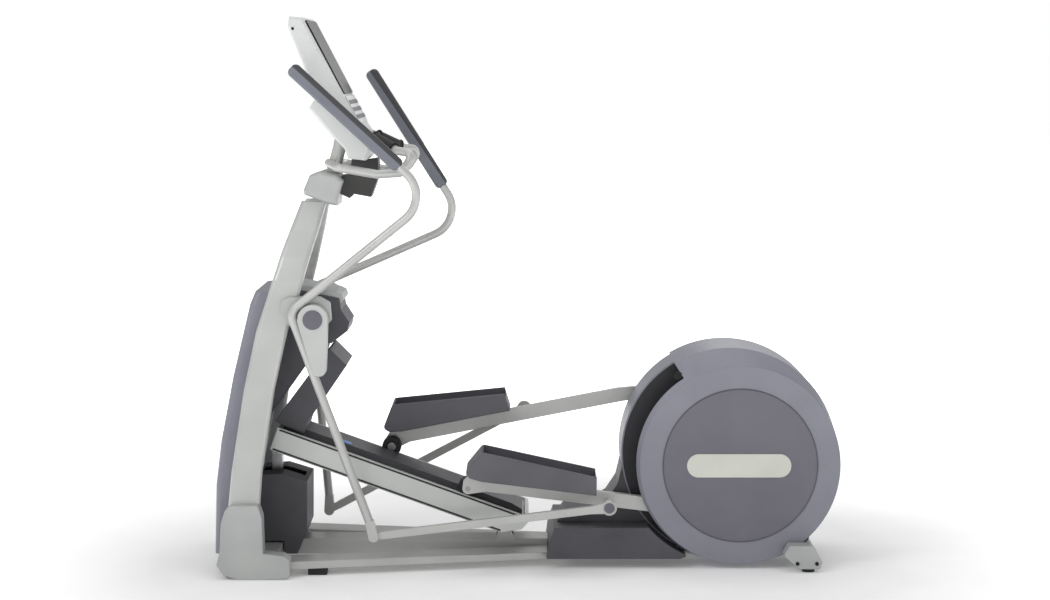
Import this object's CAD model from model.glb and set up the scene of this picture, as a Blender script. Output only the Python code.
import bmesh
import bpy
import math
from mathutils import Matrix, Vector


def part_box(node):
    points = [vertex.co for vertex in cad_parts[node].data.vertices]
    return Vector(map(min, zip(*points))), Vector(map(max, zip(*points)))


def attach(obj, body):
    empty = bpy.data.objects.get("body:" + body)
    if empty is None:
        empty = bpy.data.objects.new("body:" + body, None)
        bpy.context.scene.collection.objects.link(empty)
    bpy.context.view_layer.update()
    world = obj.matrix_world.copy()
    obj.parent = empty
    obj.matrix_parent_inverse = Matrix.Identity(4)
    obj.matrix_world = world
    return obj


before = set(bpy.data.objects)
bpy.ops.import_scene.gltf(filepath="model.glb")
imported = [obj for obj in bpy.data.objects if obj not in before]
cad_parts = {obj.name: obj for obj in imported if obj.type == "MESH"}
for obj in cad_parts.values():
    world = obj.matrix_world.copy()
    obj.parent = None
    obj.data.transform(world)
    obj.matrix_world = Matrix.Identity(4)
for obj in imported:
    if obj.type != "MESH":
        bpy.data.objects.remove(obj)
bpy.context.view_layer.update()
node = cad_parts


# ---- Welded base, handles, rods, arms and mast ---------------------------------------------------
# Rectangular and round steel tube and flat bar, welded and powder coated in warm silver. The
# coat is satin, with a slight mottle and a fine orange peel.
def tint(code):
    channels = [int(code[i : i + 2], 16) / 255 for i in (1, 3, 5)]
    return [c / 12.92 if c <= 0.04045 else ((c + 0.055) / 1.055) ** 2.4 for c in channels] + [1]


def surface(name, low, high, rough, grain, relief, round_edge=0.0, metallic=0.0, coat=0.0,
            stretch=(1, 1, 1), spread=0.06):
    m = bpy.data.materials.new(name)
    m.use_nodes = True
    tree = m.node_tree
    shader = tree.nodes["Principled BSDF"]
    coords = tree.nodes.new("ShaderNodeTexCoord")
    mapping = tree.nodes.new("ShaderNodeMapping")
    mapping.inputs["Scale"].default_value = stretch
    tree.links.new(coords.outputs["Object"], mapping.inputs["Vector"])
    mottle = tree.nodes.new("ShaderNodeTexNoise")
    mottle.inputs["Scale"].default_value = 7
    mottle.inputs["Detail"].default_value = 4
    tree.links.new(mapping.outputs["Vector"], mottle.inputs["Vector"])
    ramp = tree.nodes.new("ShaderNodeValToRGB")
    ramp.color_ramp.elements[0].position = 0.3
    ramp.color_ramp.elements[1].position = 0.7
    ramp.color_ramp.elements[0].color = tint(low)
    ramp.color_ramp.elements[1].color = tint(high)
    tree.links.new(mottle.outputs["Fac"], ramp.inputs["Fac"])
    tree.links.new(ramp.outputs["Color"], shader.inputs["Base Color"])
    gloss = tree.nodes.new("ShaderNodeMapRange")
    gloss.inputs["To Min"].default_value = rough - spread
    gloss.inputs["To Max"].default_value = rough + spread
    tree.links.new(mottle.outputs["Fac"], gloss.inputs["Value"])
    tree.links.new(gloss.outputs["Result"], shader.inputs["Roughness"])
    texture = tree.nodes.new("ShaderNodeTexNoise")
    texture.inputs["Scale"].default_value = grain
    texture.inputs["Detail"].default_value = 2
    tree.links.new(mapping.outputs["Vector"], texture.inputs["Vector"])
    bump = tree.nodes.new("ShaderNodeBump")
    bump.inputs["Strength"].default_value = relief
    bump.inputs["Distance"].default_value = 0.0006
    tree.links.new(texture.outputs["Fac"], bump.inputs["Height"])
    if round_edge:
        edge = tree.nodes.new("ShaderNodeBevel")
        edge.samples = 4
        edge.inputs["Radius"].default_value = round_edge
        tree.links.new(edge.outputs["Normal"], bump.inputs["Normal"])
    tree.links.new(bump.outputs["Normal"], shader.inputs["Normal"])
    shader.inputs["Metallic"].default_value = metallic
    shader.inputs["Coat Weight"].default_value = coat
    shader.inputs["Coat Roughness"].default_value = 0.25
    return m


def dress(material, *names):
    for n in names:
        node[n].data.materials.clear()
        node[n].data.materials.append(material)


silver_paint = surface("silver_paint", "#B9BAB7", "#C4C5C2", 0.38, 900, 0.12, 0.003, 0.25, 0.25)
dress(silver_paint, "centre_beam", "left_base_rail", "right_base_rail", "rear_stabilizer",
      "console_mast", "fixed_handlebar", "left_handle", "right_handle", "left_link_rod",
      "right_link_rod", "left_pedal_arm", "right_pedal_arm")

# ---- Uprights and ramp frame ---------------------------------------------------------------------
# Bent aluminium extrusions, painted in a slightly brighter silver than the steel, with soft
# rounded edges.
silver_aluminium = surface("silver_aluminium", "#BEC0BE", "#C8CAC7", 0.36, 700, 0.1, 0.004, 0.25, 0.3)
dress(silver_aluminium, "left_upright", "right_upright", "ramp_frame")

# ---- Castings ------------------------------------------------------------------------------------
# Feet, caps and pivot brackets are aluminium castings with a coarser satin paint over the
# cast skin.
grey_casting = surface("grey_casting", "#AEB0B0", "#BABCBA", 0.45, 500, 0.25, 0.005, 0.15, 0.1)
dress(grey_casting, "left_front_foot", "right_front_foot", "top_cap", "rear_end_caps",
      "tower_head_cap", "handle_pivot_brackets")

# ---- Rubber pieces -------------------------------------------------------------------------------
# Floor pads, rollers, transport wheels, heart-rate grips and the drive belt are moulded black
# rubber with a dull, finely grained surface.
black_rubber = surface("black_rubber", "#1E1E20", "#2A2A2C", 0.65, 900, 0.5, 0.002)
dress(black_rubber, "floor_pads", "pulse_grips", "left_roller", "right_roller",
      "left_transport_wheel", "right_transport_wheel", "drive_belt")

# ---- Dark covers of the tower, lift and base -----------------------------------------------------
# Thin moulded plastic shells with a fine texture, clipped over the steelwork.
dark_cover = surface("dark_cover", "#48484D", "#54545A", 0.5, 1500, 0.35, 0.003)
dress(dark_cover, "tower_cover", "ramp_shroud", "base_covers", "lift_housing")

# ---- Ramp cover, trims and label -----------------------------------------------------------------
# The cover is a dark moulded deck. Thin black strips are pressed along both edges of each ramp
# side, and a small round printed blue label sits near the front.
ramp_top = surface("ramp_top", "#3E3E43", "#47474C", 0.45, 1500, 0.35, 0.003)
dress(ramp_top, "ramp_cover")


def add_piece(name, bm, material, body, smooth=True):
    bmesh.ops.recalc_face_normals(bm, faces=bm.faces)
    mesh = bpy.data.meshes.new(name)
    bm.to_mesh(mesh)
    bm.free()
    mesh.materials.append(material)
    if smooth:
        mesh.shade_smooth()
        mesh.set_sharp_from_angle(angle=math.radians(35))
    piece = bpy.data.objects.new(name, mesh)
    bpy.context.scene.collection.objects.link(piece)
    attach(piece, body)
    return piece


def centre(name):
    low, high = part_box(name)
    return (low + high) / 2


sides = (("left", -1), ("right", 1))


def cap_disc(bm, radius, height, round_over):
    ring = bmesh.ops.create_circle(bm, cap_ends=True, segments=48, radius=radius)
    face = [f for f in bm.faces if all(v in ring["verts"] for v in f.verts)][0]
    grown = bmesh.ops.extrude_face_region(bm, geom=[face])
    top = [g for g in grown["geom"] if isinstance(g, bmesh.types.BMVert)]
    bmesh.ops.translate(bm, vec=(0, 0, height), verts=top)
    lip = [e for e in bm.edges if all(v in top for v in e.verts)]
    bmesh.ops.bevel(bm, geom=lip, offset=round_over, affect="EDGES", segments=3, profile=0.5,
                    material=-1)


def outward(sign, x, y, z):
    turn = Matrix.Rotation(math.radians(-90 * sign), 4, "X")
    return Matrix.Translation(Vector((x, sign * y, z))) @ turn


def join(bm, part):
    """Adds part's faces to bm and frees part."""
    scratch = bpy.data.meshes.new("scratch")
    part.to_mesh(scratch)
    part.free()
    bm.from_mesh(scratch)
    bpy.data.meshes.remove(scratch)


trim_plastic = surface("trim_plastic", "#202023", "#2B2B2E", 0.5, 1300, 0.3)
ramp_slope = Matrix.Rotation(math.radians(20), 4, "Y")
ramp_at = Matrix.Translation((-0.185, 0, 0.255)) @ ramp_slope
for side, sign in sides:
    bm = bmesh.new()
    for v, start, end in ((-0.0275, -0.636, 0.205), (-0.0930, -0.636, 0.146)):
        strip = bmesh.new()
        bmesh.ops.create_cube(strip, size=1)
        bmesh.ops.scale(strip, vec=(end - start, 0.0022, 0.006), verts=strip.verts)
        bmesh.ops.bevel(strip, geom=strip.edges[:], offset=0.0008, affect="EDGES", segments=2,
                        profile=0.5, material=-1)
        spot = Matrix.Translation(((start + end) / 2, sign * 0.1605, v))
        bmesh.ops.transform(strip, matrix=ramp_at @ spot, verts=strip.verts)
        join(bm, strip)
    add_piece(f"{side}_ramp_trim", bm, trim_plastic, "ramp", False)

label_blue = surface("label_blue", "#4D8FDB", "#5B9BE0", 0.35, 700, 0.05)
bm = bmesh.new()
cap_disc(bm, 0.019, 0.0012, 0.0004)
bmesh.ops.transform(bm, matrix=ramp_at @ Matrix.Translation((-0.42, -0.055, -0.0098)), verts=bm.verts)
add_piece("ramp_label", bm, label_blue, "ramp")

# ---- Drive ---------------------------------------------------------------------------------------
# Machined steel axles, arms, pulley, bearings, frame, motor and lift strut, and a turned iron
# flywheel. Most of it is hidden inside the crank housing.
bright_steel = surface("bright_steel", "#8E8E90", "#A6A6A8", 0.3, 300, 0.2, 0.001, 1.0, 0, (1, 30, 1))
dress(bright_steel, "left_roller_axle", "right_roller_axle", "lift_strut", "crank_axle",
      "crank_arms", "crank_bearings", "crank_pulley", "drive_frame", "lift_motor")
flywheel_iron = surface("flywheel_iron", "#3A3A3C", "#4A4A4C", 0.4, 300, 0.3, 0.002, 0.9)
dress(flywheel_iron, "flywheel")

# ---- Crank housing -------------------------------------------------------------------------------
# Two moulded shells with round side covers, a darker round panel on each side and a blank
# badge plate, screwed together round the drive.
housing_plastic = surface("housing_plastic", "#83848F", "#8B8C97", 0.4, 1400, 0.2, 0.003)
dress(housing_plastic, "left_core_shell", "right_core_shell", "left_side_cover",
      "right_side_cover", "front_shroud")
panel_plastic = surface("panel_plastic", "#696772", "#706E79", 0.38, 1400, 0.18, 0.003)
dress(panel_plastic, "round_panels")
badge_plastic = surface("badge_plastic", "#D0D1C8", "#D9DAD1", 0.4, 1200, 0.1, 0.002)
dress(badge_plastic, "badge_plates")

# ---- Slot linings of the crank housing -----------------------------------------------------------
# Behind the crescent slot that each pedal arm runs in, the housing is lined with a dark
# moulded sheet, screwed to the inner shell.
lining_plastic = surface("lining_plastic", "#232327", "#2E2E33", 0.55, 1300, 0.3)
crank = centre("crank_axle")
core_low, core_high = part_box("left_core_shell")
drum_x, drum_z = (core_low.x + core_high.x) / 2, (core_low.z + core_high.z) / 2
for side, sign in sides:
    bm = bmesh.new()
    bmesh.ops.create_circle(bm, cap_ends=True, segments=96, radius=0.343)
    bmesh.ops.bisect_plane(bm, geom=bm.verts[:] + bm.edges[:] + bm.faces[:], plane_co=(-0.02, 0, 0),
                           plane_no=(1, 0, 0), clear_outer=True)
    sheet = bmesh.ops.extrude_face_region(bm, geom=bm.faces[:])
    bmesh.ops.translate(bm, vec=(0, 0, 0.0012),
                        verts=[g for g in sheet["geom"] if isinstance(g, bmesh.types.BMVert)])
    if sign < 0:
        facing = Matrix.Rotation(math.radians(90), 4, "X")
    else:
        facing = Matrix.Rotation(math.radians(90), 4, "X") @ Matrix.Translation((0, 0, -0.0012))
    place = Matrix.Translation(Vector((drum_x, sign * 0.1004, drum_z)))
    bmesh.ops.transform(bm, matrix=place @ facing, verts=bm.verts)
    add_piece(f"{side}_slot_lining", bm, lining_plastic, "frame")

# ---- Rings round the crank housing's panels ------------------------------------------------------
# A shallow dark groove, pressed into the moulding, surrounds each round panel. A slim rolled
# bead of darker plastic fills it.
groove_plastic = surface("groove_plastic", "#55535D", "#5E5C67", 0.45, 1300, 0.2)
for side, sign in sides:
    bm = bmesh.new()
    bmesh.ops.create_circle(bm, segments=10, radius=0.0022)
    bmesh.ops.rotate(bm, cent=(0, 0, 0), matrix=Matrix.Rotation(math.pi / 2, 3, "X"),
                     verts=bm.verts)
    bmesh.ops.translate(bm, vec=(0.2478, 0, 0), verts=bm.verts)
    bmesh.ops.spin(bm, geom=bm.verts[:] + bm.edges[:], cent=(0, 0, 0), axis=(0, 0, 1),
                   angle=2 * math.pi, steps=160, use_merge=True)
    bmesh.ops.remove_doubles(bm, verts=bm.verts, dist=0.00001)
    bmesh.ops.transform(bm, matrix=outward(sign, crank.x, 0.2012, crank.z), verts=bm.verts)
    add_piece(f"{side}_panel_ring", bm, groove_plastic, "frame")

# ---- Screws and slot brackets --------------------------------------------------------------------
# Black socket-head screws, turned with a recess: two in each rear casting, two in each bracket
# that closes an end of a housing slot, and one at the top of each side of the console.
screw_black = surface("screw_black", "#1A1A1C", "#262628", 0.38, 1500, 0.2, 0.0, 0.6)


def socket_screw(bm, placing, radius):
    part = bmesh.new()
    bmesh.ops.create_circle(part, cap_ends=True, segments=24, radius=radius)
    face = part.faces[:]
    grown = bmesh.ops.extrude_face_region(part, geom=face)
    top = [g for g in grown["geom"] if isinstance(g, bmesh.types.BMVert)]
    bmesh.ops.translate(part, vec=(0, 0, radius * 0.55), verts=top)
    lid = [f for f in part.faces if all(v in top for v in f.verts)]
    bmesh.ops.inset_region(part, faces=lid, thickness=radius * 0.42, depth=0)
    sunk = bmesh.ops.extrude_face_region(part, geom=lid)
    floor_verts = [g for g in sunk["geom"] if isinstance(g, bmesh.types.BMVert)]
    bmesh.ops.translate(part, vec=(0, 0, -radius * 0.4), verts=floor_verts)
    bmesh.ops.delete(part, geom=lid, context="FACES_ONLY")
    bmesh.ops.recalc_face_normals(part, faces=part.faces)
    bmesh.ops.transform(part, matrix=placing, verts=part.verts)
    join(bm, part)


for side, sign in sides:
    bm = bmesh.new()
    for x, y, z in ((0.872, 0.2615, 0.03), (0.934, 0.2615, 0.03)):
        socket_screw(bm, outward(sign, x, y, z), 0.006)
    add_piece(f"{side}_casting_screws", bm, screw_black, "frame")

    bm = bmesh.new()
    for x, z, lean in ((0.5034, 0.617, 35), (0.512, 0.098, -35)):
        bracket = bmesh.new()
        bmesh.ops.create_cube(bracket, size=1)
        bmesh.ops.scale(bracket, vec=(0.052, 0.026, 0.006), verts=bracket.verts)
        upright_edges = [e for e in bracket.edges if abs(e.verts[0].co.z - e.verts[1].co.z) > 0.001]
        bmesh.ops.bevel(bracket, geom=upright_edges, offset=0.009, affect="EDGES", segments=5,
                        profile=0.5, material=-1)
        turn = Matrix.Rotation(math.radians(lean * sign), 4, "Z")
        placing = outward(sign, x, 0.172, z) @ turn
        bmesh.ops.transform(bracket, matrix=placing, verts=bracket.verts)
        join(bm, bracket)
        for along in (-0.014, 0.014):
            socket_screw(bm, placing @ Matrix.Translation((along, 0, 0.003)), 0.0042)
    add_piece(f"{side}_slot_brackets", bm, screw_black, "frame", False)

    bm = bmesh.new()
    socket_screw(bm, outward(sign, -0.733, 0.1955, 1.732), 0.0045)
    add_piece(f"{side}_console_screw", bm, screw_black, "frame")

# ---- Pedals and their mats -----------------------------------------------------------------------
# Each pedal is a moulded tray with a raised rim. A soft rubber mat with raised square studs is
# glued to its floor.
pedal_plastic = surface("pedal_plastic", "#59595F", "#636369", 0.5, 1300, 0.4, 0.004)
dress(pedal_plastic, "left_pedal_tray", "right_pedal_tray")

mat_length = 0.345
mat_width = 0.146
stud_least = 0.008  # every edge of a stud is longer, every edge of a groove shorter
stud_height = 0.0022
arm_turn = {"left": 7.02, "right": -10.97}
mat_rubber = surface("mat_rubber", "#434247", "#4E4D53", 0.62, 900, 0.5, 0.001)
for side, sign in sides:
    axle = centre(f"{side}_roller")
    bm = bmesh.new()
    bmesh.ops.create_grid(bm, x_segments=22, y_segments=9, size=0.5)
    bmesh.ops.scale(bm, vec=(mat_length, mat_width, 1), verts=bm.verts)
    bmesh.ops.inset_individual(bm, faces=bm.faces[:], thickness=0.0026, depth=0)
    raised = [f for f in bm.faces if min(e.calc_length() for e in f.edges) > stud_least]
    for f in raised:
        bmesh.ops.translate(bm, vec=(0, 0, stud_height), verts=f.verts)
    rim = [e for e in bm.edges if e.is_boundary]
    skirt = bmesh.ops.extrude_edge_only(bm, edges=rim)
    bmesh.ops.translate(bm, vec=(0, 0, -0.0038),
                        verts=[v for v in skirt["geom"] if isinstance(v, bmesh.types.BMVert)])
    bmesh.ops.translate(bm, vec=(0.2225, sign * 0.1715, 0.0585), verts=bm.verts)
    turn = Matrix.Rotation(math.radians(arm_turn[side]), 4, "Y")
    shift = Matrix.Translation(Vector((axle.x, 0, axle.z)))
    bmesh.ops.transform(bm, matrix=shift @ turn, verts=bm.verts)
    add_piece(f"{side}_pedal_mat", bm, mat_rubber, f"{side}_pedal", False)

# ---- Grips ---------------------------------------------------------------------------------------
# Soft moulded sleeves over the top of each moving handle, in bluish grey, with a darker strip
# along the edge that faces the user.
grip_lean = {"left": 42.6, "right": 56.0}
for side in ("left", "right"):
    foam = surface(f"{side}_grip_foam", "#6E7079", "#787A84", 0.6, 1800, 0.5, 0.003)
    tree = foam.node_tree
    low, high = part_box(f"{side}_grip")
    middle = (low + high) / 2
    turned = tree.nodes.new("ShaderNodeMapping")
    turned.vector_type = "TEXTURE"
    turned.inputs["Location"].default_value = middle
    turned.inputs["Rotation"].default_value = (0, math.radians(grip_lean[side]), 0)
    tree.links.new(tree.nodes["Texture Coordinate"].outputs["Object"], turned.inputs["Vector"])
    parts = tree.nodes.new("ShaderNodeSeparateXYZ")
    tree.links.new(turned.outputs["Vector"], parts.inputs["Vector"])
    edge = tree.nodes.new("ShaderNodeMapRange")
    edge.inputs["From Min"].default_value = 0.0060
    edge.inputs["From Max"].default_value = 0.0068
    tree.links.new(parts.outputs["Z"], edge.inputs["Value"])
    blend = tree.nodes.new("ShaderNodeMix")
    blend.data_type = "RGBA"
    blend.inputs["B"].default_value = tint("#3F3F42")
    tree.links.new(edge.outputs["Result"], blend.inputs["Factor"])
    tree.links.new(tree.nodes["Color Ramp"].outputs["Color"], blend.inputs["A"])
    shader = tree.nodes["Principled BSDF"]
    tree.links.new(blend.outputs["Result"], shader.inputs["Base Color"])
    dress(foam, f"{side}_grip")

# ---- Hub covers, hub discs and rod end caps ------------------------------------------------------
# Light moulded covers at the handles' swing bolts, with push-in dark discs. The pin of each
# rod's rear eye has a dark cap too, with a thin raised ring round it.
light_cover = surface("light_cover", "#BCBEBC", "#C3C5C3", 0.42, 1200, 0.15, 0.004)
dress(light_cover, "left_hub_cover", "right_hub_cover")

cap_plastic = surface("cap_plastic", "#5F5E68", "#6A6973", 0.42, 1300, 0.2)
rod_rear = {"left": (0.2682, 0.21619), "right": (-0.00277, 0.45282)}
for side, sign in sides:
    bm = bmesh.new()
    cap_disc(bm, 0.031, 0.0035, 0.0016)
    bmesh.ops.transform(bm, matrix=outward(sign, -0.669, 0.3035, 0.819), verts=bm.verts)
    add_piece(f"{side}_hub_disc", bm, cap_plastic, f"{side}_handle")
    bm = bmesh.new()
    cap_disc(bm, 0.0165, 0.0034, 0.0014)
    x, z = rod_rear[side]
    bmesh.ops.transform(bm, matrix=outward(sign, x, 0.2915, z), verts=bm.verts)
    add_piece(f"{side}_rod_cap", bm, cap_plastic, f"{side}_rod")
    bm = bmesh.new()
    bmesh.ops.create_circle(bm, segments=12, radius=0.0016)
    bmesh.ops.rotate(bm, cent=(0, 0, 0), matrix=Matrix.Rotation(math.pi / 2, 3, "X"),
                     verts=bm.verts)
    bmesh.ops.translate(bm, vec=(0.0195, 0, 0), verts=bm.verts)
    bmesh.ops.spin(bm, geom=bm.verts[:] + bm.edges[:], cent=(0, 0, 0), axis=(0, 0, 1),
                   angle=2 * math.pi, steps=48, use_merge=True)
    bmesh.ops.remove_doubles(bm, verts=bm.verts, dist=0.00001)
    bmesh.ops.transform(bm, matrix=outward(sign, x, 0.2927, z), verts=bm.verts)
    add_piece(f"{side}_rod_ring", bm, light_cover, f"{side}_rod")

# ---- Console -------------------------------------------------------------------------------------
# A moulded shell with a dark display, a receiver box under it, and a membrane keypad below the
# display. Turned black rings close both ends of each heart-rate grip.
console_shell = surface("console_shell", "#CBCDCC", "#D5D7D6", 0.45, 1400, 0.12, 0.002)
dress(console_shell, "console_back", "console_bezel")
display_glass = surface("display_glass", "#151517", "#1D1D1F", 0.4, 200, 0.0)
dress(display_glass, "console_display")
receiver_plastic = surface("receiver_plastic", "#303030", "#3A3A39", 0.5, 1400, 0.35, 0.003)
dress(receiver_plastic, "receiver_box")


for side, sign in sides:
    start = Vector((-0.484, sign * 0.084, 1.384))
    finish = Vector((-0.418, sign * 0.140, 1.350))
    heading = (finish - start).normalized()
    bm = bmesh.new()
    for where in (start, finish):
        ring = bmesh.new()
        bmesh.ops.create_circle(ring, segments=12, radius=0.0028)
        bmesh.ops.rotate(ring, cent=(0, 0, 0), matrix=Matrix.Rotation(math.pi / 2, 3, "X"),
                         verts=ring.verts)
        bmesh.ops.translate(ring, vec=(0.0205, 0, 0), verts=ring.verts)
        bmesh.ops.spin(ring, geom=ring.verts[:] + ring.edges[:], cent=(0, 0, 0), axis=(0, 0, 1),
                       angle=2 * math.pi, steps=40, use_merge=True)
        bmesh.ops.remove_doubles(ring, verts=ring.verts, dist=0.00001)
        along = heading.to_track_quat("Z", "Y").to_matrix().to_4x4()
        bmesh.ops.transform(ring, matrix=Matrix.Translation(where) @ along, verts=ring.verts)
        join(bm, ring)
    add_piece(f"{side}_pulse_rings", bm, screw_black, "frame")

key_rubber = surface("key_rubber", "#6B6C72", "#76777D", 0.5, 1200, 0.2)
face_turn = math.atan2(1.767 - 1.421, 0.180)
bm = bmesh.new()
for row in range(3):
    for column in range(9):
        key = bmesh.new()
        bmesh.ops.create_cube(key, size=1)
        wide = 0.028 if column not in (0, 8) else 0.022
        bmesh.ops.scale(key, vec=(0.014, wide, 0.0024), verts=key.verts)
        bmesh.ops.bevel(key, geom=key.edges[:], offset=0.0011, affect="EDGES", segments=2,
                        profile=0.5, material=-1)
        spot = Matrix.Translation((0.303 + 0.026 * row, (column - 4) * 0.0375, 0.0038))
        turn = Matrix.Rotation(face_turn, 4, "Y")
        bmesh.ops.transform(key, matrix=Matrix.Translation((-0.7, 0, 1.767)) @ turn @ spot,
                            verts=key.verts)
        join(bm, key)
add_piece("console_keys", bm, key_rubber, "frame", False)

# ---- Floor, lights and camera ---------------------------------------------------------------
# A plain pale studio floor under soft light from above and both sides.
bm = bmesh.new()
bmesh.ops.create_circle(bm, cap_ends=True, segments=64, radius=40)
floor_mesh = bpy.data.meshes.new("studio_floor")
bm.to_mesh(floor_mesh)
bm.free()
floor = bpy.data.objects.new("studio_floor", floor_mesh)
bpy.context.scene.collection.objects.link(floor)
floor_paint = surface("floor_paint", "#F6F6F6", "#FAFAFA", 0.9, 40, 0.02)
floor_paint.node_tree.nodes["Principled BSDF"].inputs["Emission Color"].default_value = (1, 1, 1, 1)
paint = floor_paint.node_tree
far = paint.nodes.new("ShaderNodeVectorMath")
far.operation = "LENGTH"
paint.links.new(paint.nodes["Texture Coordinate"].outputs["Object"], far.inputs[0])
glow = paint.nodes.new("ShaderNodeMapRange")
glow.inputs["From Min"].default_value = 1.2
glow.inputs["From Max"].default_value = 3.5
glow.inputs["To Min"].default_value = 0.12
glow.inputs["To Max"].default_value = 1.2
paint.links.new(far.outputs["Value"], glow.inputs["Value"])
paint.links.new(glow.outputs["Result"], paint.nodes["Principled BSDF"].inputs["Emission Strength"])
floor_mesh.materials.append(floor_paint)

world = bpy.data.worlds.new("studio")
bpy.context.scene.world = world
world.use_nodes = True
sky = world.node_tree.nodes["Background"]
sky.inputs["Color"].default_value = (1, 1, 1, 1)
rays = world.node_tree.nodes.new("ShaderNodeLightPath")
seen = world.node_tree.nodes.new("ShaderNodeMapRange")
seen.inputs["To Min"].default_value = 0.45
seen.inputs["To Max"].default_value = 1.0
world.node_tree.links.new(rays.outputs["Is Camera Ray"], seen.inputs["Value"])
world.node_tree.links.new(seen.outputs["Result"], sky.inputs["Strength"])
bpy.context.scene.view_settings.view_transform = "Standard"
for name, place, target, size, power in (
    ("key", (-3.5, -3.5, 4.5), (0, 0, 0.7), 2.5, 78),
    ("fill", (3.5, -4.5, 2.5), (0.2, 0, 0.6), 3, 22),
    ("top", (0, 0.5, 5), (0, 0, 0), 3.5, 55),
    ("rim", (1.5, 4, 3), (0, 0, 0.9), 2.5, 30),
):
    lamp = bpy.data.lights.new(name, "AREA")
    lamp.size = size
    lamp.energy = power
    light = bpy.data.objects.new(name, lamp)
    bpy.context.scene.collection.objects.link(light)
    light.location = place
    light.rotation_mode = "QUATERNION"
    light.rotation_quaternion = (Vector(target) - Vector(place)).to_track_quat("-Z", "Y")
camera = bpy.data.objects.new("camera", bpy.data.cameras.new("camera"))
bpy.context.scene.collection.objects.link(camera)
bpy.context.scene.camera = camera
camera.location = (0, -7.5, 1.62)
camera.rotation_euler = (math.radians(90 - 5.85), 0, 0)
camera.data.sensor_width = 36
camera.data.lens = 78.9
